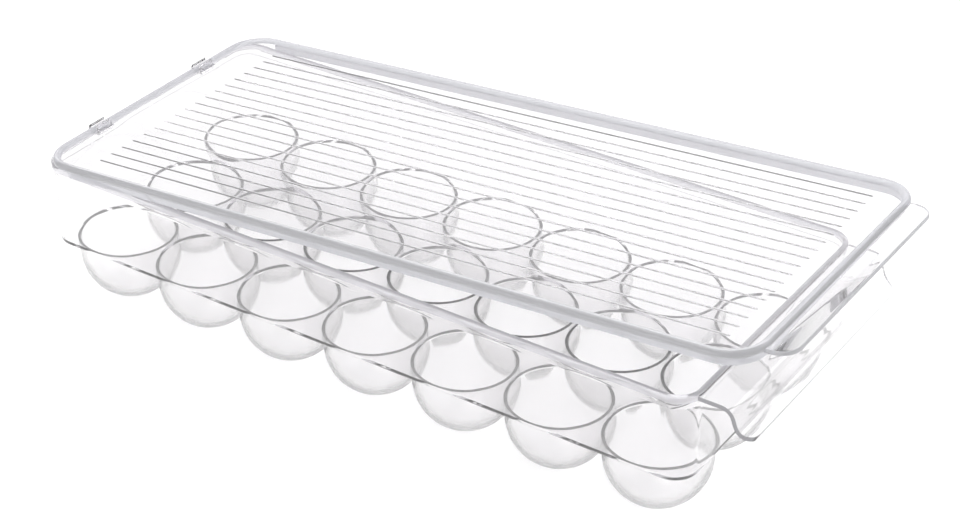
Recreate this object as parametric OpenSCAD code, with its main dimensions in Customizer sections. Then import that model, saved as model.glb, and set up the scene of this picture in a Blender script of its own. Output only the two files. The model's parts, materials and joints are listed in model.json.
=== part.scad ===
// Keeper tray with rows of round cups and a ribbed lid that flips up on a rod at the far end.
// Millimetres. The origin is the centre of the middle cup's foot, on the surface it stands on.
// +X runs towards the pull handle, +Y to the back, +Z up. The lid is drawn slightly open.

/* [Cups] */
// Cups along the tray
cup_columns = 7; // [3:2:9]
// Rows of cups across the tray
cup_rows = 3; // [3:2:5]
// Radius of a cup inside its straight neck
cup_inner_r = 22.5; // [18:0.1:27]
// Wall of a cup
cup_wall = 1.6; // [1.4:0.1:2.4]
// Gap between the outsides of neighbouring cups
cup_gap = 1; // [0.6:0.1:10]
// Depth from the deck's top to the surface that the cups stand on
cup_depth = 33.8; // [32:0.2:45]
// Radius of the flat foot under each cup
foot_r = 6; // [3:0.5:10]
// Rounding of a cup's mouth, where it runs into the deck
mouth_round = 1.5; // [0.8:0.1:1.7]

/* [Tray] */
// Depth from the rim's top to the deck's top
tray_depth = 41.2; // [20:0.2:60]
// Thickness of the deck between the cups
deck_t = 1.8; // [1.7:0.1:2.5]
// Thickness of the tray's wall
wall_t = 1.8; // [1.4:0.1:3]
// Room between the end cups' mouths and the end walls
end_margin = 0.8; // [0.2:0.1:20]
// Room between the side cups' mouths and the side walls
side_margin = 0.2; // [0.2:0.1:20]
// Outer corner radius of the rim, seen from above
corner_r = 12; // [8:0.5:24]
// Rounding of the tray's lower outer edge
heel_round = 1.6; // [0.4:0.1:1.7]

/* [Rim] */
// How far the rim's upper band stands out from the wall
rim_reach = 0.8; // [0.5:0.1:3]
// Height of the rim's upper band
rim_band_h = 3.2; // [1.5:0.1:6]
// Height of the rim's lower, shallower band
rim_step_h = 2.9; // [1:0.1:6]
// Rounding of the rim's top edges
rim_round = 0.6; // [0.3:0.05:0.8]

/* [Pull handle] */
// Distance from the tray's side to the handle's side edge
handle_inset = 7.5; // [7:0.5:45]
// Thickness of the handle
handle_t = 2; // [1.5:0.1:3]
// Flat part of the handle from the rim outwards
handle_flat = 10; // [4:0.5:25]
// Radius of the bend down, at the middle of the thickness
bend_r = 6; // [3:0.5:12]
// Turn of the bend down
bend_angle = 70; // [40:1:85]
// Straight part between the two bends
handle_drop = 3; // [1:0.5:20]
// Radius of the bend outwards, at the middle of the thickness
flick_r = 8; // [4:0.5:16]
// Turn of the bend outwards
flick_angle = 50; // [20:1:60]
// Straight part at the handle's tip
handle_tip = 3; // [1:0.5:10]
// Corner radius of the tip, seen from above
handle_corner_r = 7; // [2:0.5:12]

/* [Lid] */
// Overhang of the lid's edge beyond the rim on each long side
lid_side_reach = 4; // [4:0.1:8]
// Overhang of the lid's edge beyond the rim at the handle end
lid_end_reach = 28; // [4:0.5:40]
// Thickness of the lid's panel
panel_t = 2; // [1.4:0.1:3]
// Radius of the round bead along the lid's edge, which is also the hinge rod
bead_r = 2; // [1.6:0.05:2.6]
// Corner radius of the bead's middle line, seen from above
lid_corner_r = 16; // [8:0.5:30]
// Gap between the closed lid and the rim
lid_gap = 0.4; // [0.3:0.05:1]
// How far the lid is open as drawn
lid_tilt = 4.5; // [0:0.1:30]

/* [Lid ribs] */
// Number of fine ribs on the panel
rib_count = 18; // [5:1:24]
// Smooth border between the bead's middle line and the ribs on each long side
rib_side_border = 13.4; // [6:0.2:40]
// Width of a rib
rib_w = 1.1; // [0.6:0.1:2]
// Height of a rib above the panel
rib_h = 0.6; // [0.3:0.05:1]
// Smooth border between the bead's middle line and the ribs at the hinge end
rib_far_border = 24; // [8:0.5:60]
// Smooth border between the bead's middle line and the ribs at the handle end
rib_near_border = 15; // [8:0.5:60]

/* [Lid skirt] */
// Depth of the skirt that hangs under the panel's edge, outside the rim
skirt_h = 3.5; // [1:0.1:6]
// Thickness of the skirt
skirt_t = 1.4; // [1:0.1:1.6]

/* [Lid tab] */
// Distance from the tray's side to the tab's side edge
tab_inset = 9; // [8:0.5:50]
// How far the tab stands out from the bead's middle line
tab_reach = 13; // [6:0.5:25]
// Corner radius of the tab
tab_corner_r = 9; // [2:0.5:10]

/* [Hinge] */
// Distance between the middles of the two clips
clip_spacing = 76; // [40:1:90]
// Length of a clip along the rod
clip_w = 9; // [5:0.5:14]
// Wall of a clip around the rod
clip_wall = 1.5; // [1:0.1:2]
// Radial running clearance between the rod and its clips
rod_clearance = 0.08; // [0.02:0.01:0.1]
// Width of a clip's mouth as a share of the rod's diameter
clip_mouth_share = 0.85; // [0.6:0.01:0.95]
// Distance from the tray's far face to the rod's middle
rod_inset = 3.9; // [3.9:0.1:4.6]
// Room between a clip and the notch in the lid around it
notch_clearance = 0.6; // [0.4:0.05:1.5]

/* [Hidden] */
$fn = 96;
// Overlap that keeps two faces from falling together
eps = 0.01;
// How far a cutting shape runs past the face that it cuts
cut = 1;
// Facets of each bend in the handle
arc_steps = 10;
clear_tint = [0.86, 0.88, 0.93];
lid_tint = [0.80, 0.85, 0.93];
cup_tint = [0.90, 0.91, 0.93];

// Heights above the surface that the tray stands on
deck_top = cup_depth;
deck_bottom = deck_top - deck_t;
rim_top = deck_top + tray_depth;

// Cup sizes: the bowl's outside is a sphere that the foot cuts flat, its inside is a sphere
// whose lowest point is one wall above the foot
cup_outer_r = cup_inner_r + cup_wall;
cup_pitch = 2 * cup_outer_r + cup_gap;
mouth_r = cup_inner_r + mouth_round;
bowl_z = sqrt(cup_outer_r * cup_outer_r - foot_r * foot_r);
bowl_inner_z = cup_inner_r + cup_wall;

// Plan of the tray
wall_band = wall_t + rim_reach;
inner_l = (cup_columns - 1) * cup_pitch + 2 * (mouth_r + end_margin);
inner_w = (cup_rows - 1) * cup_pitch + 2 * (mouth_r + side_margin);
tray_l = inner_l + 2 * wall_band;
tray_w = inner_w + 2 * wall_band;
inner_corner_r = corner_r - wall_band;

// Lid, in its closed place: the bead's middle line is a rounded rectangle
rod_x = -tray_l / 2 + rod_inset;
rod_z = rim_top + lid_gap + bead_r;
lid_near_x = tray_l / 2 + lid_end_reach - bead_r;
lid_l = lid_near_x - rod_x;
lid_w = tray_w + 2 * (lid_side_reach - bead_r);
lid_mid_x = (lid_near_x + rod_x) / 2;
panel_z = rim_top + lid_gap;
rib_pitch = (lid_w - 2 * rib_side_border) / (rib_count - 1);
tab_w = tray_w - 2 * tab_inset;

// Hinge
bore_r = bead_r + rod_clearance;
clip_r = bore_r + clip_wall;
notch_x = clip_r + notch_clearance;

// Pull handle, in a section that starts at the rim: two bends and the tip's end
handle_w = tray_w - 2 * handle_inset;
bend_centre = [handle_flat, -bend_r];
bend_end = on_circle(bend_centre, bend_r, 90 - bend_angle);
drop_end = on_circle(bend_end, handle_drop, -bend_angle);
flick_centre = on_circle(drop_end, flick_r, 90 - bend_angle);
end_slope = bend_angle - flick_angle;
flick_end = on_circle(flick_centre, flick_r, 270 - end_slope);
handle_end = on_circle(flick_end, handle_tip, -end_slope);

// Plan shapes
module rounded_plan(l, w, r) {
    for (sx = [-1, 1], sy = [-1, 1])
        translate([sx * (l / 2 - r), sy * (w / 2 - r)]) circle(r = r);
    square([l - 2 * r, w], center = true);
    square([l, w - 2 * r], center = true);
}

// Sweeps a profile around a rounded rectangle: the profile's x runs outwards from it, y upwards
module sweep_around(l, w, r) {
    for (side = [0, 180]) rotate([0, 0, side]) {
        translate([l / 2, w / 2 - r, 0]) rotate([90, 0, 0])
            linear_extrude(height = w - 2 * r) children();
        translate([-(l / 2 - r), w / 2, 0]) rotate([90, 0, 90])
            linear_extrude(height = l - 2 * r) children();
        translate([l / 2 - r, w / 2 - r, 0]) rotate_extrude(angle = 90) translate([r, 0]) children();
        translate([-(l / 2 - r), w / 2 - r, 0]) rotate([0, 0, 90])
            rotate_extrude(angle = 90) translate([r, 0]) children();
    }
}

// Moves what is drawn in the closed lid's place to where the open lid is
module lid_place() {
    translate([rod_x, 0, rod_z]) rotate([0, -lid_tilt, 0]) translate([-rod_x, 0, -rod_z]) children();
}

// Half of a cup's section, from its axis outwards
module cup_section() {
    difference() {
        intersection() {
            union() {
                translate([0, bowl_z]) circle(r = cup_outer_r);
                translate([0, bowl_z]) square([cup_outer_r, deck_bottom - bowl_z]);
            }
            square([cup_outer_r + cut, deck_bottom]);
        }
        translate([0, bowl_inner_z]) circle(r = cup_inner_r);
        translate([-cut, bowl_inner_z]) square([cup_inner_r + cut, deck_bottom - bowl_inner_z + cut]);
    }
}

module cup_row(row) {
    for (column = [0 : cup_columns - 1])
        translate([(column - (cup_columns - 1) / 2) * cup_pitch, row * cup_pitch, 0])
            rotate_extrude() cup_section();
}

// What a cup's rounded mouth takes out of the deck
module mouth_cut() {
    translate([0, 0, deck_bottom - cut]) cylinder(r = cup_inner_r, h = deck_t + 2 * cut);
    rotate_extrude() difference() {
        translate([0, deck_top - mouth_round]) square([mouth_r, mouth_round + cut]);
        translate([mouth_r, deck_top - mouth_round]) circle(r = mouth_round);
    }
}

module cup_deck() {
    color(clear_tint) difference() {
        translate([0, 0, deck_bottom]) linear_extrude(height = deck_t)
            rounded_plan(inner_l, inner_w, inner_corner_r);
        for (column = [0 : cup_columns - 1], row = [0 : cup_rows - 1])
            translate([
                (column - (cup_columns - 1) / 2) * cup_pitch,
                (row - (cup_rows - 1) / 2) * cup_pitch,
                0
            ]) mouth_cut();
    }
}

// Rows beyond the outermost two belong to the middle group
module cups_front() { color(cup_tint) cup_row(-(cup_rows - 1) / 2); }
module cups_back() { color(cup_tint) cup_row((cup_rows - 1) / 2); }
module cups_middle() {
    color(cup_tint) for (row = [1 : cup_rows - 2]) cup_row(row - (cup_rows - 1) / 2);
}

// Section of the wall with its stepped rim: x is measured from the rim's outer face
module wall_section() {
    rim_mid = rim_top - rim_band_h;
    rim_low = rim_mid - rim_step_h;
    difference() {
        union() {
            translate([-wall_band, rim_mid]) square([wall_band, rim_band_h]);
            translate([-wall_band, rim_low]) square([wall_band - rim_reach / 2, rim_step_h]);
            translate([-wall_band, deck_bottom]) square([wall_t, rim_low - deck_bottom]);
        }
        translate([-rim_round, rim_top - rim_round]) corner_cut(rim_round, 0);
        translate([-wall_band + rim_round, rim_top - rim_round]) corner_cut(rim_round, 90);
        translate([-rim_reach - heel_round, deck_bottom + heel_round]) corner_cut(heel_round, 270);
    }
}

// Square corner less a quarter circle, turned to the corner that it rounds
module corner_cut(r, turn) {
    rotate(turn) difference() {
        square(r + cut);
        circle(r = r);
    }
}

module tray_wall() {
    color(clear_tint) sweep_around(tray_l, tray_w, corner_r) wall_section();
}

function on_circle(centre, r, angle) = centre + r * [cos(angle), sin(angle)];
function arc_points(centre, r, from, to) =
    [for (i = [0 : arc_steps]) on_circle(centre, r, from + (to - from) * i / arc_steps)];
function reversed(points) = [for (i = [len(points) - 1 : -1 : 0]) points[i]];

// One face of the handle's section, at a distance above the middle of its thickness
function handle_face(above) = concat(
    [[0, above]],
    arc_points(bend_centre, bend_r + above, 90, 90 - bend_angle),
    arc_points(flick_centre, flick_r - above, 270 - bend_angle, 270 - bend_angle + flick_angle),
    [handle_end + above * [sin(end_slope), cos(end_slope)]]
);

module handle_section() {
    polygon(concat(handle_face(handle_t / 2), reversed(handle_face(-handle_t / 2))));
}

module pull_handle() {
    plan_l = 2 * (handle_end[0] + handle_t * sin(end_slope) / 2);
    low = min(handle_end[1], flick_centre[1] - flick_r) - handle_t;
    color(clear_tint) translate([tray_l / 2, 0, rim_top - rim_round - handle_t / 2]) intersection() {
        translate([0, handle_w / 2, 0]) rotate([90, 0, 0])
            linear_extrude(height = handle_w) handle_section();
        translate([0, 0, low]) linear_extrude(height = handle_t - low)
            rounded_plan(plan_l, handle_w, handle_corner_r);
    }
}

// One clip: stands on the rim and holds the rod, with a mouth at the top to snap it in
module clip() {
    mouth_w = 2 * bead_r * clip_mouth_share;
    translate([rod_x, clip_w / 2, 0]) rotate([90, 0, 0]) linear_extrude(height = clip_w) difference() {
        union() {
            translate([0, rod_z]) circle(r = clip_r);
            translate([-clip_r, rim_top]) square([2 * clip_r, rod_z - rim_top]);
        }
        translate([0, rod_z]) circle(r = bore_r);
        translate([-mouth_w / 2, rod_z]) square([mouth_w, clip_r + cut]);
        translate([-clip_r, rim_top - clip_r]) square([2 * clip_r, clip_r]);
    }
}

module hinge_clips() {
    color(clear_tint) for (side = [-1, 1]) translate([0, side * clip_spacing / 2, 0]) clip();
}

// Room around the clips, which the panel leaves free
module clip_notches() {
    width = clip_w + 2 * notch_clearance;
    for (side = [-1, 1])
        translate([rod_x - notch_x, side * clip_spacing / 2 - width / 2, panel_z - cut])
            cube([2 * notch_x, width, panel_t + 2 * cut]);
}

// The bead as a closed ring, whose straight far side is the hinge rod
module bead() {
    translate([lid_mid_x, 0, rod_z]) sweep_around(lid_l, lid_w, lid_corner_r) circle(r = bead_r);
}

module lid_panel() {
    color(lid_tint) lid_place() {
        difference() {
            translate([lid_mid_x, 0, panel_z]) linear_extrude(height = panel_t)
                rounded_plan(lid_l, lid_w, lid_corner_r);
            clip_notches();
        }
        bead();
    }
}

module lid_ribs() {
    rib_start = rod_x + rib_far_border;
    rib_l = lid_near_x - rib_near_border - rib_start;
    color(lid_tint) lid_place() for (i = [0 : rib_count - 1])
        translate([rib_start, (i - (rib_count - 1) / 2) * rib_pitch, panel_z + panel_t])
            rib(rib_l);
}

// A fine rib with a round back and rounded ends
module rib(length) {
    r = (rib_w * rib_w / 4 + rib_h * rib_h) / (2 * rib_h);
    intersection() {
        translate([0, 0, rib_h - r]) rotate([0, 90, 0]) cylinder(r = r, h = length);
        translate([length / 2, 0, 0]) linear_extrude(height = rib_h + cut)
            rounded_plan(length, rib_w + eps, rib_w / 2);
    }
}

// Runs along the long sides and the handle end, and leaves the two corners beside the rod free
module lid_skirt() {
    start_x = rod_x + lid_corner_r;
    color(lid_tint) lid_place() translate([0, 0, panel_z - skirt_h]) linear_extrude(height = skirt_h)
        intersection() {
            translate([lid_mid_x, 0]) difference() {
                rounded_plan(lid_l, lid_w, lid_corner_r);
                rounded_plan(lid_l - 2 * skirt_t, lid_w - 2 * skirt_t, lid_corner_r - skirt_t);
            }
            translate([start_x, -lid_w]) square([lid_l, 2 * lid_w]);
        }
}

module lid_tab() {
    color(lid_tint) lid_place() difference() {
        translate([lid_near_x, 0, panel_z]) linear_extrude(height = panel_t) intersection() {
            rounded_plan(2 * tab_reach, tab_w, tab_corner_r);
            translate([bead_r / 2, -tab_w]) square([2 * tab_reach, 2 * tab_w]);
        }
        translate([lid_near_x, tab_w, rod_z]) rotate([90, 0, 0]) cylinder(r = bead_r, h = 2 * tab_w);
    }
}

tray_wall();
cup_deck();
cups_front();
cups_middle();
cups_back();
pull_handle();
hinge_clips();
lid_panel();
lid_ribs();
lid_skirt();
lid_tab();
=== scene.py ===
"""Clear keeper tray with round cups and a ribbed flip lid, on a white studio floor."""

import json
import math

import bmesh
import bpy
from mathutils import Matrix, Vector


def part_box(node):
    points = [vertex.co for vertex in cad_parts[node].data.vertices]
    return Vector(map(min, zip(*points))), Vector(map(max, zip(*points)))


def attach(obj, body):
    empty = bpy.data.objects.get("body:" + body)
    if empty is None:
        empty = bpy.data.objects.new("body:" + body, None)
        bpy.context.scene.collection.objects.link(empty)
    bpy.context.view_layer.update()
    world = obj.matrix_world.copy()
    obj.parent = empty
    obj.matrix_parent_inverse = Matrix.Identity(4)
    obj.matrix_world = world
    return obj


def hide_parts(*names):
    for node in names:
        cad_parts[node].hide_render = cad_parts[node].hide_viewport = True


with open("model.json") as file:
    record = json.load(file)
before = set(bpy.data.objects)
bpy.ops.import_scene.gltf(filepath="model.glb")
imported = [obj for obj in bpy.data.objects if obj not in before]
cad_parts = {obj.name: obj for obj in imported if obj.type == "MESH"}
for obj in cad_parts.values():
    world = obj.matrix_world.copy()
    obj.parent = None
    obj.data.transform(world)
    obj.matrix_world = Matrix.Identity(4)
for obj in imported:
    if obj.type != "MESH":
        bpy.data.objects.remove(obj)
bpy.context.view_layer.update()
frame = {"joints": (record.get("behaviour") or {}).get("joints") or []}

MM = 0.001

# Sizes read from the frame, in metres
wall_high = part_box("tray_wall")[1]
deck_low, deck_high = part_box("cup_deck")
RIM_TOP = wall_high[2]
DECK_TOP, DECK_BOTTOM = deck_high[2], deck_low[2]
TRAY_HALF_L, TRAY_HALF_W = wall_high[0], wall_high[1]
INNER_HALF_L, INNER_HALF_W = deck_high[0], deck_high[1]
WALL_BAND = TRAY_HALF_L - INNER_HALF_L

# Cups, as in the frame
CUP_COLUMNS, CUP_ROWS = 7, 3
CUP_PITCH = 49.2 * MM
CUP_INNER_R, CUP_OUTER_R = 22.5 * MM, 24.1 * MM
FOOT_R = 6 * MM
MOUTH_ROUND = 1.5 * MM
MOUTH_LAND = 0.05 * MM  # flat ring of deck around a mouth's rounding
NECK_H = 0.6 * MM  # straight part of a cup's outside, under the deck
BOWL_TURN = math.radians(84)  # how far the bowl's inside bends before its flat middle

# Rim and wall
CORNER_R = 12 * MM
RIM_REACH = 0.8 * MM
RIM_BAND_H, RIM_STEP_H = 3.2 * MM, 2.9 * MM
RIM_ROUND, STEP_ROUND, HEEL_ROUND = 0.6 * MM, 0.2 * MM, 1.6 * MM
STEP_LIP = 0.05 * MM  # what is left of a step's upright face above its rounding
INNER_SPLITS = (DECK_TOP + 0.6 * MM, DECK_TOP + 12 * MM, RIM_TOP - 6 * MM)  # heights that split its faces
OUTER_SPLITS = (RIM_TOP - 14 * MM, DECK_BOTTOM + 10 * MM)

# Pull handle, as in the frame
HANDLE_HALF_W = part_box("pull_handle")[1][1]
HANDLE_T = 2 * MM
HANDLE_FLAT, HANDLE_DROP, HANDLE_TIP = 10 * MM, 3 * MM, 3 * MM
BEND_R, BEND_ANGLE = 6 * MM, math.radians(70)
FLICK_R, FLICK_ANGLE = 8 * MM, math.radians(50)
HANDLE_CORNER_R = 7 * MM
HANDLE_ROOT = 0.5 * MM  # how far the handle starts inside the rim

# Lid, in its closed place
LID_TILT = math.radians(4.5)
hinge = frame["joints"][0]
ROD_X, ROD_Z = hinge["pos_m"][0], hinge["pos_m"][2]
BEAD_R = 2 * MM
PANEL_T = 2 * MM
PANEL_Z = ROD_Z - BEAD_R
LID_END_REACH, LID_SIDE_REACH = 26 * MM, 2 * MM
LID_NEAR_X = TRAY_HALF_L + LID_END_REACH
LID_HALF_W = TRAY_HALF_W + LID_SIDE_REACH
LID_CORNER_R = 16 * MM
RIB_COUNT, RIB_PITCH, RIB_W, RIB_H = 18, 7.6 * MM, 1.6 * MM, 0.28 * MM
RIB_FAR_BORDER, RIB_NEAR_BORDER = 24 * MM, 15 * MM
RIB_SINK, RIB_TAPER, RIB_LIP = 0.4 * MM, 1.2 * MM, 0.02 * MM
SKIRT_H, SKIRT_T = 3.5 * MM, 1.4 * MM
SKIRT_SOFT, SKIRT_SINK, SKIRT_INSET = 0.4 * MM, 0.5 * MM, 0.02 * MM
TAB_HALF_W = 67 * MM
TAB_REACH, TAB_CORNER_R, TAB_SOFT = 13 * MM, 9 * MM, 0.6 * MM
LONGEST_RUN = 20 * MM  # longest straight step along the lid's outline

# Hinge clips
CLIP_SPACING, CLIP_W = 76 * MM, 9 * MM
BORE_R, CLIP_WALL = 2.08 * MM, 1.5 * MM
CLIP_MOUTH = 2 * BEAD_R * 0.85  # narrower than the rod, which snaps in
CLIP_SINK = 0.3 * MM
NOTCH_CLEARANCE, NOTCH_PAST = 0.6 * MM, 1 * MM

# Camera, found by solving the photograph as one perspective view
CAMERA_PLACE = Vector((502.4, -712.7, 590.2)) * MM
CAMERA_DOWN, CAMERA_TURN = math.radians(32.327), math.radians(33.894)
CAMERA_LENS, CAMERA_SENSOR = 82.87, 36
CAMERA_FAR = 50

# Meshes
SHARP_FROM = math.radians(35)
AXIS_FLAT = 0.99999  # a face whose normal has a part this large lies square to an axis
SAME_POINT = 1e-7
KEYS_PER_METRE = 1e6  # points within a micrometre are the same vertex
TOUCH, EDGE_MARGIN = 0.01 * MM, 0.05 * MM
LEVEL = 0.99  # a face whose normal rises this much is level

# Steps on round stretches
MOUTH_STEPS, BOWL_STEPS = 6, 14
SIDE_STEPS, CORNER_STEPS = 18, 16  # on one side of a cup's cell, and on the tray's inner corner
RIM_STEPS, STEP_STEPS, HEEL_STEPS = 4, 3, 6
BEND_STEPS, FLICK_STEPS, TIP_PARTS = 12, 10, 5
BORE_STEPS, JAW_STEPS = 28, 6
PLATE_STEPS, BEAD_PATH_STEPS, BEAD_STEPS = 16, 20, 24
SOFT_STEPS, TAB_STEPS, WAVE_STEPS = 4, 12, 12


# Points

def on_circle(centre, r, angle):
    return (centre[0] + r * math.cos(angle), centre[1] + r * math.sin(angle))


def arc(centre, r, start, end, steps):
    """Points on a circle in a plane, from one angle to another, in radians."""
    return [on_circle(centre, r, start + (end - start) * i / steps) for i in range(steps + 1)]


def quarter_turn(centre, r, start, steps):
    """A rounded corner as (point, outward normal) pairs, counterclockwise."""
    angles = [start + math.pi / 2 * k / steps for k in range(steps + 1)]
    return [(on_circle(centre, r, a), (math.cos(a), math.sin(a))) for a in angles]


def rounded_path(x0, x1, y0, y1, r, steps):
    """A rounded rectangle as (point, outward normal) pairs, counterclockwise, with no repeats."""
    centres = [(x1 - r, y1 - r), (x0 + r, y1 - r), (x0 + r, y0 + r), (x1 - r, y0 + r)]
    bends = [quarter_turn(centre, r, math.pi / 2 * i, steps) for i, centre in enumerate(centres)]
    path = []
    for bend, after in zip(bends, bends[1:] + bends[:1]):
        path += bend
        start, normal = Vector(bend[-1][0]), bend[-1][1]
        end = Vector(after[0][0])
        count = max(1, round((end - start).length / LONGEST_RUN))
        path += [(tuple(start.lerp(end, k / count)), normal) for k in range(1, count)]
    return path


def near_corners(x1, half_w, r, steps):
    """The two rounded corners at the handle end as (point, outward normal) pairs, front to back."""
    front = quarter_turn((x1 - r, r - half_w), r, -math.pi / 2, steps)
    return front + quarter_turn((x1 - r, half_w - r), r, 0, steps)


# Solids

def make_object(name, bm, place=None):
    """An object from a bmesh, shaded smooth where it is rounded."""
    bmesh.ops.recalc_face_normals(bm, faces=bm.faces)
    mesh = bpy.data.meshes.new(name)
    bm.to_mesh(mesh)
    bm.free()
    if place is not None:
        mesh.transform(place)
    finish_shading(mesh)
    obj = bpy.data.objects.new(name, mesh)
    bpy.context.scene.collection.objects.link(obj)
    return obj


def finish_shading(mesh):
    """Rounded faces are shaded smooth; flat ones along the axes stay flat, so that nothing seen
    through them bends."""
    for polygon in mesh.polygons:
        polygon.use_smooth = max(abs(c) for c in polygon.normal) < AXIS_FLAT
    mesh.set_sharp_from_angle(angle=SHARP_FROM)


def bridge(bm, first, second):
    """Quads between two closed rings of as many vertices."""
    n = len(first)
    for i in range(n):
        j = (i + 1) % n
        bm.faces.new((first[i], first[j], second[j], second[i]))


def ring(bm, points):
    return [bm.verts.new(p) for p in points]


def tube(bm, rings):
    """A closed solid through rings, with a face at each end."""
    for a, b in zip(rings, rings[1:]):
        bridge(bm, a, b)
    bm.faces.new(rings[0][::-1])
    bm.faces.new(rings[-1])


def sweep(bm, path, section, closed_section=True):
    """Sweeps a section of (outward, height) points around a path, and returns its rings."""
    rings = [
        ring(bm, [(p[0] + n[0] * u, p[1] + n[1] * u, z) for p, n in path]) for u, z in section
    ]
    for a, b in zip(rings, rings[1:] + (rings[:1] if closed_section else [])):
        bridge(bm, a, b)
    return rings


def prism(bm, outline, lift):
    """A closed solid between an outline of 3-D points and the same outline moved by lift."""
    tube(bm, [ring(bm, outline), ring(bm, [Vector(p) + Vector(lift) for p in outline])])


def combine(target, others, operation):
    """Joins or cuts other solids and applies the result to the target's mesh."""
    for other in others:
        modifier = target.modifiers.new("combine", "BOOLEAN")
        modifier.operation = operation
        modifier.solver = "EXACT"
        modifier.object = other
    depsgraph = bpy.context.evaluated_depsgraph_get()
    mesh = bpy.data.meshes.new_from_object(target.evaluated_get(depsgraph))
    target.modifiers.clear()
    target.data = mesh
    for other in others:
        bpy.data.objects.remove(other)
    finish_shading(mesh)


# Tray

SIDES = {"right": (1, 0), "top": (0, 1), "left": (-1, 0), "bottom": (0, -1)}  # outward, counterclockwise


def cup_centre(column, row):
    x, y = column - (CUP_COLUMNS - 1) / 2, row - (CUP_ROWS - 1) / 2
    return Vector((x * CUP_PITCH, y * CUP_PITCH))


def sides_at_wall(column, row):
    """For each side of a cup's cell, whether it lies at the tray's wall."""
    last_column, last_row = column == CUP_COLUMNS - 1, row == CUP_ROWS - 1
    return {"right": last_column, "top": last_row, "left": column == 0, "bottom": row == 0}


def cell_bounds(column, row):
    """The low and high corner of the deck around a cup, which reaches the wall where it can."""
    cx, cy = cup_centre(column, row)
    half, at_wall = CUP_PITCH / 2, sides_at_wall(column, row)
    low_x = -INNER_HALF_L if at_wall["left"] else cx - half
    high_x = INNER_HALF_L if at_wall["right"] else cx + half
    low_y = -INNER_HALF_W if at_wall["bottom"] else cy - half
    high_y = INNER_HALF_W if at_wall["top"] else cy + half
    return (low_x, low_y), (high_x, high_y)


def side_points(side, low, high):
    """Points along one side of a cell without its last one, counterclockwise, and spaced so that the
    rays to them from the middle of a square turn evenly."""
    turns = [2 * i / SIDE_STEPS - 1 for i in range(SIDE_STEPS)]
    shares = [math.tan(math.pi / 4 * turn) for turn in turns]
    nx, ny = SIDES[side]
    if nx:
        x = high[0] if nx > 0 else low[0]
        mid, run = (low[1] + high[1]) / 2, (high[1] - low[1]) / 2
        return [(x, mid + nx * run * share) for share in shares]
    y = high[1] if ny > 0 else low[1]
    mid, run = (low[0] + high[0]) / 2, (high[0] - low[0]) / 2
    return [(mid - ny * run * share, y) for share in shares]


def cell_outline(column, row):
    """The deck around a cup, counterclockwise, with the tray's rounded corner where it has one. Each
    point is (x, y, outward normal of the wall there or None)."""
    low, high = cell_bounds(column, row)
    at_wall = sides_at_wall(column, row)
    inner_r = CORNER_R - WALL_BAND
    sign_x = 1 if at_wall["right"] else -1
    sign_y = 1 if at_wall["top"] else -1
    centre = (sign_x * (INNER_HALF_L - inner_r), sign_y * (INNER_HALF_W - inner_r))
    points = []
    order = list(SIDES)
    for i, side in enumerate(order):
        before, after = order[i - 1], order[(i + 1) % len(order)]
        starts_round = at_wall[side] and at_wall[before]
        ends_round = at_wall[side] and at_wall[after]
        for k, (x, y) in enumerate(side_points(side, low, high)):
            past_x, past_y = (x - centre[0]) * sign_x, (y - centre[1]) * sign_y
            if (starts_round or ends_round) and min(past_x, past_y) > SAME_POINT:
                continue
            normal = SIDES[side] if at_wall[side] else None
            if k == 0 and normal is None and at_wall[before]:
                normal = SIDES[before]
            points.append((x, y, normal))
        if ends_round:
            start = math.atan2(SIDES[side][1], SIDES[side][0])
            corner = quarter_turn(centre, inner_r, start, CORNER_STEPS)
            points += [(*point, normal) for point, normal in corner]
    return points


def wall_section():
    """The wall's section from the deck's top, up the inside, over the rim and down to the heel."""
    mid = RIM_TOP - RIM_BAND_H
    low = mid - RIM_STEP_H
    half_turn, quarter = math.pi, math.pi / 2
    step_u, wall_u = WALL_BAND - RIM_REACH / 2, WALL_BAND - RIM_REACH
    section = [(0, z) for z in INNER_SPLITS]
    section += arc((RIM_ROUND, RIM_TOP - RIM_ROUND), RIM_ROUND, half_turn, quarter, RIM_STEPS)
    section += arc((WALL_BAND - RIM_ROUND, RIM_TOP - RIM_ROUND), RIM_ROUND, quarter, 0, RIM_STEPS)
    section += arc((WALL_BAND - STEP_ROUND, mid + STEP_ROUND), STEP_ROUND, 0, -quarter, STEP_STEPS)
    section += [(step_u, mid - STEP_LIP)]
    section += arc((step_u - STEP_ROUND, low + STEP_ROUND), STEP_ROUND, 0, -quarter, STEP_STEPS)
    section += [(wall_u, low - STEP_LIP)] + [(wall_u, z) for z in OUTER_SPLITS]
    section += arc((wall_u - HEEL_ROUND, DECK_BOTTOM + HEEL_ROUND), HEEL_ROUND, 0, -quarter, HEEL_STEPS)
    return section


def cup_rings(bm, centre, outline_verts, angles, profile):
    """Rings from a cell's outline down a cup's profile of (radius, height), closed by a cap."""
    last = outline_verts
    for r, z in profile:
        new = ring(bm, [(*on_circle(centre, r, a), z) for a in angles])
        bridge(bm, last, new)
        last = new
    bm.faces.new(last)


def inner_profile():
    """A cup's inside as (radius, height), from its rounded mouth down to the middle of the bowl."""
    bowl_z = CUP_OUTER_R
    mouth_r = CUP_INNER_R + MOUTH_ROUND
    profile = [(mouth_r + MOUTH_LAND, DECK_TOP)]
    profile += [
        (mouth_r - MOUTH_ROUND * math.sin(a), DECK_TOP - MOUTH_ROUND * (1 - math.cos(a)))
        for a in (math.pi / 2 * i / MOUTH_STEPS for i in range(MOUTH_STEPS + 1))
    ]
    profile += [(CUP_INNER_R, (DECK_TOP - MOUTH_ROUND + bowl_z) / 2)]
    return profile + arc((0, bowl_z), CUP_INNER_R, 0, -BOWL_TURN, BOWL_STEPS)


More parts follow.
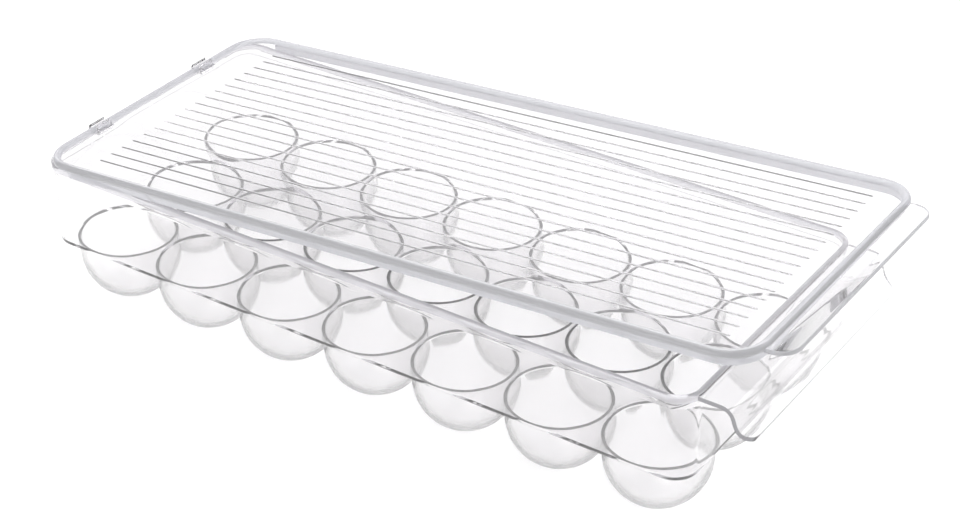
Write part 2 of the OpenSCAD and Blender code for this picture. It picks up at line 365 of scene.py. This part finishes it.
def outer_profile():
    """A cup's outside as (radius, height), from under the deck to the rim of its flat foot."""
    bowl_z = math.sqrt(CUP_OUTER_R ** 2 - FOOT_R ** 2)
    profile = [(CUP_OUTER_R, DECK_BOTTOM), (CUP_OUTER_R, DECK_BOTTOM - NECK_H)]
    return profile + arc((0, bowl_z), CUP_OUTER_R, 0, -math.acos(FOOT_R / CUP_OUTER_R), BOWL_STEPS)


def tray_shell():
    """The tray as one closed skin: deck and cups inside, wall and rim, then deck and cups below."""
    bm = bmesh.new()
    known, border = {}, {}

    def key(*place):
        return tuple(round(c * KEYS_PER_METRE) for c in place)

    def shared_vertex(x, y, z):
        if key(x, y, z) not in known:
            known[key(x, y, z)] = bm.verts.new((x, y, z))
        return known[key(x, y, z)]

    for row in range(CUP_ROWS):
        for column in range(CUP_COLUMNS):
            centre = cup_centre(column, row)
            outline = cell_outline(column, row)
            angles = [math.atan2(y - centre[1], x - centre[0]) for x, y, _ in outline]
            for z, profile in ((DECK_TOP, inner_profile()), (DECK_BOTTOM, outer_profile())):
                verts = [shared_vertex(x, y, z) for x, y, _ in outline]
                cup_rings(bm, centre, verts, angles, profile)
            border.update({key(x, y): ((x, y), n) for x, y, n in outline if n is not None})

    def turn(item):
        x, y = item[0]
        return math.atan2(y / INNER_HALF_W, x / INNER_HALF_L)

    path = sorted(border.values(), key=turn)
    top = [shared_vertex(*p, DECK_TOP) for p, _ in path]
    bottom = [shared_vertex(*p, DECK_BOTTOM) for p, _ in path]
    rings = sweep(bm, path, wall_section(), closed_section=False)
    bridge(bm, top, rings[0])
    bridge(bm, rings[-1], bottom)
    return make_object("tray", bm)


def handle_face(above):
    """One face of the handle's section as (reach, height), at a distance above the middle of its
    thickness: flat, bent down, straight, and flicked out to the tip."""
    turn = math.pi / 2 - BEND_ANGLE
    slope = BEND_ANGLE - FLICK_ANGLE
    bend_centre = Vector((HANDLE_FLAT, -BEND_R))
    bend_end = Vector(on_circle(bend_centre, BEND_R, turn))
    drop_end = Vector(on_circle(bend_end, HANDLE_DROP, -BEND_ANGLE))
    flick_centre = Vector(on_circle(drop_end, FLICK_R, turn))
    flick_start = 1.5 * math.pi - BEND_ANGLE
    tip = on_circle(on_circle(flick_centre, FLICK_R, 1.5 * math.pi - slope), HANDLE_TIP, -slope)
    points = [(-HANDLE_ROOT, above), (HANDLE_FLAT / 2, above)]
    points += arc(bend_centre, BEND_R + above, math.pi / 2, turn, BEND_STEPS)
    points += arc(flick_centre, FLICK_R - above, flick_start, flick_start + FLICK_ANGLE, FLICK_STEPS)
    points.append((tip[0] + above * math.sin(slope), tip[1] + above * math.cos(slope)))
    return points


def pull_handle():
    """The handle's bent band, narrowed towards its tip by the rounded corners."""
    bm = bmesh.new()
    upper, lower = handle_face(HANDLE_T / 2), handle_face(-HANDLE_T / 2)
    corner_x = upper[-1][0] - HANDLE_CORNER_R
    z0 = RIM_TOP - RIM_ROUND - HANDLE_T / 2

    def half_width(x):
        over = min(max(x - corner_x, 0), HANDLE_CORNER_R)
        return HANDLE_HALF_W - HANDLE_CORNER_R + math.sqrt(HANDLE_CORNER_R ** 2 - over ** 2)

    rings = []
    for high, low in zip(*densify(upper, lower, corner_x)):
        corners = [(*high, -1), (*high, 1), (*low, 1), (*low, -1)]
        rings.append(ring(bm, [(TRAY_HALF_L + x, side * half_width(x), z0 + z) for x, z, side in corners]))
    tube(bm, rings)
    return make_object("pull_handle_part", bm)


def densify(upper, lower, start_x):
    """Adds points where the band passes its rounded corners, so that they come out round."""
    dense = ([upper[0]], [lower[0]])
    for i in range(1, len(upper)):
        parts = TIP_PARTS if upper[i][0] > start_x else 1
        for face, points in zip(dense, (upper, lower)):
            a, b = Vector(points[i - 1]), Vector(points[i])
            face += [tuple(a.lerp(b, k / parts)) for k in range(1, parts + 1)]
    return dense


def clip(side):
    """One clip around the rod, open at its top."""
    bm = bmesh.new()
    outer_r = BORE_R + CLIP_WALL
    half_mouth = CLIP_MOUTH / 2
    inner_turn, outer_turn = math.acos(half_mouth / BORE_R), math.acos(half_mouth / outer_r)
    foot_z = RIM_TOP - ROD_Z - CLIP_SINK
    outline = arc((0, 0), BORE_R, inner_turn, -math.pi - inner_turn, BORE_STEPS)
    outline += arc((0, 0), outer_r, math.pi - outer_turn, math.pi, JAW_STEPS)
    outline += [(-outer_r, foot_z), (outer_r, foot_z)]
    outline += arc((0, 0), outer_r, 0, outer_turn, JAW_STEPS)
    y = side * CLIP_SPACING / 2
    prism(bm, [(ROD_X + u, y - CLIP_W / 2, ROD_Z + v) for u, v in outline], (0, CLIP_W, 0))
    return make_object("clip_part", bm)


def mark_faces(obj, gets_painted_shade):
    """Gives the faces that pass the test to the object's second material, the darker, milkier grey that
    paints shade on the thick edges.
    """
    for face in obj.data.polygons:
        face.material_index = int(gets_painted_shade(face))


def in_tray_painted_shade_band(face):
    """Whether a face of the tray is on the band along its rim, or on the narrow sides of the handle: the
    faces that get painted shade, a darker, milkier grey.
    """
    if face.center.x > TRAY_HALF_L + TOUCH:
        turned_aside = abs(face.normal.y) > 0.3
        at_tip = face.normal.x > 0.5 and face.normal.z < -0.1
        return turned_aside or at_tip
    return RIM_TOP - RIM_BAND_H < face.center.z < RIM_TOP + TOUCH


def make_tray():
    """The tray as one closed mesh, with its thick edges marked for painted shade."""
    tray = tray_shell()
    combine(tray, [pull_handle(), clip(-1), clip(1)], "UNION")
    mark_faces(tray, in_tray_painted_shade_band)
    return tray


# Lid

def lid_outline(corner_steps):
    return rounded_path(ROD_X, LID_NEAR_X, -LID_HALF_W, LID_HALF_W, LID_CORNER_R, corner_steps)


def lid_plate():
    bm = bmesh.new()
    prism(bm, [(*p, PANEL_Z) for p, _ in lid_outline(PLATE_STEPS)], (0, 0, PANEL_T))
    return make_object("lid", bm)


def lid_bead():
    """The round bead along the lid's edge, whose far side is the hinge rod."""
    bm = bmesh.new()
    section = arc((0, ROD_Z), BEAD_R, 0, 2 * math.pi, BEAD_STEPS)[:-1]
    sweep(bm, lid_outline(BEAD_PATH_STEPS), section)
    return make_object("bead_part", bm)


def lid_skirt():
    """The skirt under the lid's edge, along the long sides and the handle end."""
    bm = bmesh.new()
    start_x, soft = ROD_X + LID_CORNER_R, SKIRT_SOFT
    path = [((start_x, -LID_HALF_W), (0, -1))]
    path += near_corners(LID_NEAR_X, LID_HALF_W, LID_CORNER_R, PLATE_STEPS)
    path.append(((start_x, LID_HALF_W), (0, 1)))
    low, high = PANEL_Z - SKIRT_H, PANEL_Z + SKIRT_SINK
    section = [(-SKIRT_INSET, high), (-SKIRT_T, high)]
    section += arc((soft - SKIRT_T, low + soft), soft, math.pi, 1.5 * math.pi, SOFT_STEPS)
    section += arc((-SKIRT_INSET - soft, low + soft), soft, 1.5 * math.pi, 2 * math.pi, SOFT_STEPS)
    tube(bm, [ring(bm, [(p[0] + n[0] * u, p[1] + n[1] * u, z) for u, z in section]) for p, n in path])
    return make_object("skirt_part", bm)


def clip_notch(side):
    """What is cut out of the panel around a clip."""
    bm = bmesh.new()
    reach = BORE_R + CLIP_WALL + NOTCH_CLEARANCE
    half = CLIP_W / 2 + NOTCH_CLEARANCE
    x0, x1 = ROD_X - reach, ROD_X + reach
    y0, y1 = side * CLIP_SPACING / 2 - half, side * CLIP_SPACING / 2 + half
    z0, z1 = PANEL_Z - NOTCH_PAST, ROD_Z + BEAD_R + NOTCH_PAST
    prism(bm, [(x0, y0, z0), (x1, y0, z0), (x1, y1, z0), (x0, y1, z0)], (0, 0, z1 - z0))
    return make_object("notch", bm)


def rib_bars():
    """All the fine ribs: soft waves on the panel, sunk a little into it, that taper off at both ends."""
    bm = bmesh.new()
    x0, x1 = ROD_X + RIB_FAR_BORDER, LID_NEAR_X - RIB_NEAR_BORDER
    top = PANEL_Z + PANEL_T
    across = [2 * k / WAVE_STEPS - 1 for k in range(WAVE_STEPS + 1)]
    wave = [(t, (1 + math.cos(math.pi * t)) / 2) for t in across]
    ends = ((0, 0.2), (RIB_TAPER / 2, 0.8), (RIB_TAPER, 1))  # (distance from the end, share of full size)
    stations = [(x0 + inside, scale) for inside, scale in ends]
    stations += [(x1 - inside, scale) for inside, scale in reversed(ends)]
    for i in range(RIB_COUNT):
        y = (i - (RIB_COUNT - 1) / 2) * RIB_PITCH
        rings = []
        for x, scale in stations:
            half, height = RIB_W / 2 * scale, RIB_H * scale
            outline = [(-half, -RIB_SINK)]
            outline += [(half * t, RIB_LIP + height * up) for t, up in wave]
            outline.append((half, -RIB_SINK))
            rings.append(ring(bm, [(x, y + u, top + v) for u, v in outline]))
        tube(bm, rings)
    return make_object("rib_part", bm)


def lid_tab():
    """The finger tab, with rounded corners and softened edges."""
    bm = bmesh.new()
    soft = TAB_SOFT
    outline = [((LID_NEAR_X, TAB_HALF_W), (0, 1)), ((LID_NEAR_X, -TAB_HALF_W), (0, -1))]
    outline += near_corners(LID_NEAR_X + TAB_REACH, TAB_HALF_W, TAB_CORNER_R, TAB_STEPS)
    section = arc((-soft, PANEL_Z + soft), soft, -math.pi / 2, 0, SOFT_STEPS)
    section += arc((-soft, PANEL_Z + PANEL_T - soft), soft, 0, math.pi / 2, SOFT_STEPS)
    rings = sweep(bm, outline, section, closed_section=False)
    bm.faces.new(rings[0][::-1])
    bm.faces.new(rings[-1])
    return make_object("tab_part", bm)


def in_lid_painted_shade_band(face):
    """Whether a face of the closed lid is on its bead or skirt, or on the narrow sides of its tab: the
    faces that get painted shade, a darker, milkier grey.
    """
    point = face.center
    if point.x > LID_NEAR_X + BEAD_R:
        return abs(face.normal.z) < LEVEL
    half_l = (LID_NEAR_X - ROD_X) / 2
    over_x = abs(point.x - ROD_X - half_l) - (half_l - LID_CORNER_R)
    over_y = abs(point.y) - (LID_HALF_W - LID_CORNER_R)
    past_corner = math.hypot(max(over_x, 0), max(over_y, 0))
    outside = past_corner + min(max(over_x, over_y), 0) - LID_CORNER_R
    return abs(outside) < BEAD_R + EDGE_MARGIN


def make_lid():
    """The lid as one closed mesh, with its thick edges marked for painted shade, and turned open as in the
    frame.
    """
    lid = lid_plate()
    combine(lid, [lid_skirt(), lid_tab()], "UNION")
    combine(lid, [clip_notch(-1), clip_notch(1)], "DIFFERENCE")
    combine(lid, [lid_bead(), rib_bars()], "UNION")
    mark_faces(lid, in_lid_painted_shade_band)
    to_hinge = Matrix.Translation((ROD_X, 0, ROD_Z))
    lid.data.transform(to_hinge @ Matrix.Rotation(-LID_TILT, 4, "Y") @ to_hinge.inverted())
    return lid


# Materials

PLASTIC_IOR = 1.45
SHADOW_TINT = (0.95, 0.95, 0.95)
FROST_TOP, FROST_FULL = 32 * MM, 24 * MM  # heights between which the cups' gloss softens
FLOW_SCALE, FLOW_DETAIL, FLOW_TONE = 9, 2, 0.985
SCUFF_SCALE, SCUFF_DETAIL, SCUFF_ROUGHNESS = 160, 4, 0.05
SCUFF_FROM, SCUFF_TO = 0.45, 0.75
WAVE_STRENGTH, WAVE_DEPTH = 0.06, 2 * MM


def noise(nodes, links, place, scale, detail):
    texture = nodes.new("ShaderNodeTexNoise")
    texture.inputs["Scale"].default_value = scale
    texture.inputs["Detail"].default_value = detail
    links.new(place.outputs["Object"], texture.inputs["Vector"])
    return texture.outputs["Fac"]


def map_range(nodes, links, value, source, target):
    """A value moved from one range to another, and held to its ends."""
    node = nodes.new("ShaderNodeMapRange")
    node.inputs["From Min"].default_value, node.inputs["From Max"].default_value = source
    node.inputs["To Min"].default_value, node.inputs["To Max"].default_value = target
    links.new(value, node.inputs["Value"])
    return node.outputs["Result"]


def join_values(nodes, links, operation, first, second):
    node = nodes.new("ShaderNodeMath")
    node.operation = operation
    links.new(first, node.inputs[0])
    links.new(second, node.inputs[1])
    return node.outputs[0]


def mix_shaders(nodes, links, share, first, second):
    """The second shader where share is 1, and the first where it is 0."""
    node = nodes.new("ShaderNodeMixShader")
    links.new(share, node.inputs["Fac"])
    links.new(first, node.inputs[1])
    links.new(second, node.inputs[2])
    return node.outputs["Shader"]


def empty_tree(owner, output_type):
    """The nodes and links of a material or world, with nothing but a new output."""
    owner.use_nodes = True
    nodes, links = owner.node_tree.nodes, owner.node_tree.links
    nodes.clear()
    return nodes, links, nodes.new(output_type)


def clear_plastic(name, tint_and_painted_shade, clear, frost=0):
    """Clear moulded plastic: faint flow waves, fine scuffs in the gloss, a slight colour and haze. Where a
    darker grey is given, as on the thick edges, that colour is painted shade. The gloss may soften down
    the cups."""
    material = bpy.data.materials.new(name)
    nodes, links, output = empty_tree(material, "ShaderNodeOutputMaterial")
    plastic = nodes.new("ShaderNodeBsdfPrincipled")
    plastic.inputs["Transmission Weight"].default_value = clear
    plastic.inputs["IOR"].default_value = PLASTIC_IOR

    place = nodes.new("ShaderNodeTexCoord")
    flow = noise(nodes, links, place, FLOW_SCALE, FLOW_DETAIL)
    tone = nodes.new("ShaderNodeValToRGB")
    tone.color_ramp.elements[0].color = (*[c * FLOW_TONE for c in tint_and_painted_shade], 1)
    tone.color_ramp.elements[1].color = (*tint_and_painted_shade, 1)
    links.new(flow, tone.inputs["Fac"])
    links.new(tone.outputs["Color"], plastic.inputs["Base Color"])

    scuff = noise(nodes, links, place, SCUFF_SCALE, SCUFF_DETAIL)
    worn = map_range(nodes, links, scuff, (SCUFF_FROM, SCUFF_TO), (0, SCUFF_ROUGHNESS))
    split = nodes.new("ShaderNodeSeparateXYZ")
    links.new(place.outputs["Object"], split.inputs["Vector"])
    milky = map_range(nodes, links, split.outputs["Z"], (FROST_TOP, FROST_FULL), (0, frost))
    links.new(join_values(nodes, links, "ADD", worn, milky), plastic.inputs["Roughness"])

    waves = nodes.new("ShaderNodeBump")
    waves.inputs["Strength"].default_value = WAVE_STRENGTH
    waves.inputs["Distance"].default_value = WAVE_DEPTH
    links.new(flow, waves.inputs["Height"])
    links.new(waves.outputs["Normal"], plastic.inputs["Normal"])

    through = nodes.new("ShaderNodeBsdfTransparent")
    through.inputs["Color"].default_value = (*SHADOW_TINT, 1)
    shadow = nodes.new("ShaderNodeLightPath").outputs["Is Shadow Ray"]
    surface = mix_shaders(nodes, links, shadow, plastic.outputs["BSDF"], through.outputs["BSDF"])
    links.new(surface, output.inputs["Surface"])
    return material


def set_materials(obj, *materials):
    """Gives an object its materials, with each face keeping its number."""
    numbers = [face.material_index for face in obj.data.polygons]
    obj.data.materials.clear()
    for material in materials:
        obj.data.materials.append(material)
    obj.data.polygons.foreach_set("material_index", numbers)


# Studio

WHITE = (1, 1, 1, 1)
FLOOR_HALF, FLOOR_DROP = 4.0, 0.2 * MM
FLOOR_COLOUR = (0.86, 0.86, 0.86, 1)
FLOOR_LIFT = 0.28
WORLD_LIGHT = 0.75
ROOM_LOW, ROOM_HIGH = (0.53, 0.515, 0.55, 1), (0.72, 0.71, 0.74, 1)


def seen_directly(nodes, links):
    """1 for what the camera sees, also in a mirror or through clear plastic."""
    ray = nodes.new("ShaderNodeLightPath").outputs
    seen = join_values(nodes, links, "MAXIMUM", ray["Is Camera Ray"], ray["Is Glossy Ray"])
    return join_values(nodes, links, "MAXIMUM", seen, ray["Is Transmission Ray"])


def make_floor():
    """A pale floor, lifted to white for what is seen directly. It keeps the object's shadow."""
    bm = bmesh.new()
    corners = ((-1, -1), (1, -1), (1, 1), (-1, 1))
    bm.faces.new(ring(bm, [(FLOOR_HALF * x, FLOOR_HALF * y, 0) for x, y in corners]))
    floor = make_object("floor", bm, Matrix.Translation((0, 0, -FLOOR_DROP)))
    material = bpy.data.materials.new("floor_white")
    nodes, links, output = empty_tree(material, "ShaderNodeOutputMaterial")
    paint = nodes.new("ShaderNodeBsdfDiffuse")
    paint.inputs["Color"].default_value = FLOOR_COLOUR
    lift = nodes.new("ShaderNodeEmission")
    lift.inputs["Color"].default_value = WHITE
    strength = nodes.new("ShaderNodeMath")
    strength.operation = "MULTIPLY"
    strength.inputs[1].default_value = FLOOR_LIFT
    links.new(seen_directly(nodes, links), strength.inputs[0])
    links.new(strength.outputs[0], lift.inputs["Strength"])
    both = nodes.new("ShaderNodeAddShader")
    links.new(paint.outputs["BSDF"], both.inputs[0])
    links.new(lift.outputs["Emission"], both.inputs[1])
    links.new(both.outputs["Shader"], output.inputs["Surface"])
    set_materials(floor, material)


def make_world():
    """Soft white light, and a mid-grey room around the white floor for what is seen directly. Clear
    edges turn the view into that room, so that they show."""
    world = bpy.data.worlds.new("studio")
    bpy.context.scene.world = world
    nodes, links, output = empty_tree(world, "ShaderNodeOutputWorld")
    soft = nodes.new("ShaderNodeBackground")
    soft.inputs["Color"].default_value = WHITE
    soft.inputs["Strength"].default_value = WORLD_LIGHT
    place = nodes.new("ShaderNodeTexCoord")
    split = nodes.new("ShaderNodeSeparateXYZ")
    links.new(place.outputs["Generated"], split.inputs["Vector"])
    shade = nodes.new("ShaderNodeValToRGB")
    shade.color_ramp.elements[0].color, shade.color_ramp.elements[1].color = ROOM_LOW, ROOM_HIGH
    links.new(split.outputs["Z"], shade.inputs["Fac"])
    room = nodes.new("ShaderNodeBackground")
    room.inputs["Strength"].default_value = 1
    links.new(shade.outputs["Color"], room.inputs["Color"])
    seen = seen_directly(nodes, links)
    surface = mix_shaders(nodes, links, seen, soft.outputs["Background"], room.outputs["Background"])
    links.new(surface, output.inputs["Surface"])


def area_light(name, place, aim, size, power):
    """A rectangular lamp at a place in metres, turned to its aim, with its power in watts."""
    data = bpy.data.lights.new(name, "AREA")
    data.shape = "RECTANGLE"
    data.size, data.size_y = size
    data.energy = power
    light = bpy.data.objects.new(name, data)
    light.location = place
    light.rotation_euler = (Vector(aim) - Vector(place)).to_track_quat("-Z", "Y").to_euler()
    bpy.context.scene.collection.objects.link(light)


def make_camera():
    data = bpy.data.cameras.new("camera")
    data.sensor_width = CAMERA_SENSOR
    data.lens = CAMERA_LENS
    data.clip_end = CAMERA_FAR
    camera = bpy.data.objects.new("camera", data)
    camera.location = CAMERA_PLACE
    camera.rotation_euler = (math.pi / 2 - CAMERA_DOWN, 0, CAMERA_TURN)
    bpy.context.scene.collection.objects.link(camera)
    bpy.context.scene.camera = camera


def main():
    bpy.context.scene.view_settings.view_transform = "Standard"
    make_camera()
    make_floor()
    make_world()
    area_light("key", place=(-0.5, -0.2, 1.6), aim=(0, 0, 0), size=(1.6, 1.2), power=10)
    area_light("fill", place=(1.2, 0.9, 1.1), aim=(0, 0, 0.05), size=(1.0, 1.0), power=5)

    tray_plastic = clear_plastic("tray_plastic", tint_and_painted_shade=(0.986, 0.981, 0.986), clear=0.955, frost=0.16)
    # Painted shade: the tray's rim band and the handle's narrow sides take a darker, milkier grey in place
    # of the grey bands that refraction gives thick clear edges.
    rim_plastic = clear_plastic("rim_plastic", tint_and_painted_shade=(0.80, 0.79, 0.83), clear=0.6)
    lid_plastic = clear_plastic("lid_plastic", tint_and_painted_shade=(0.988, 0.984, 0.989), clear=0.94)
    # Painted shade: the lid's bead, skirt and tab sides take a darker, milkier grey in place of the grey
    # bands that refraction gives thick clear edges.
    edge_plastic = clear_plastic("edge_plastic", tint_and_painted_shade=(0.80, 0.80, 0.832), clear=0.52)
    tray, lid = make_tray(), make_lid()
    set_materials(tray, tray_plastic, rim_plastic)
    set_materials(lid, lid_plastic, edge_plastic)
    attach(tray, "tray")
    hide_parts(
        "tray_wall", "cup_deck", "cups_front", "cups_middle", "cups_back", "pull_handle", "hinge_clips"
    )
    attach(lid, "lid")
    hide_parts("lid_panel", "lid_ribs", "lid_skirt", "lid_tab")


main()
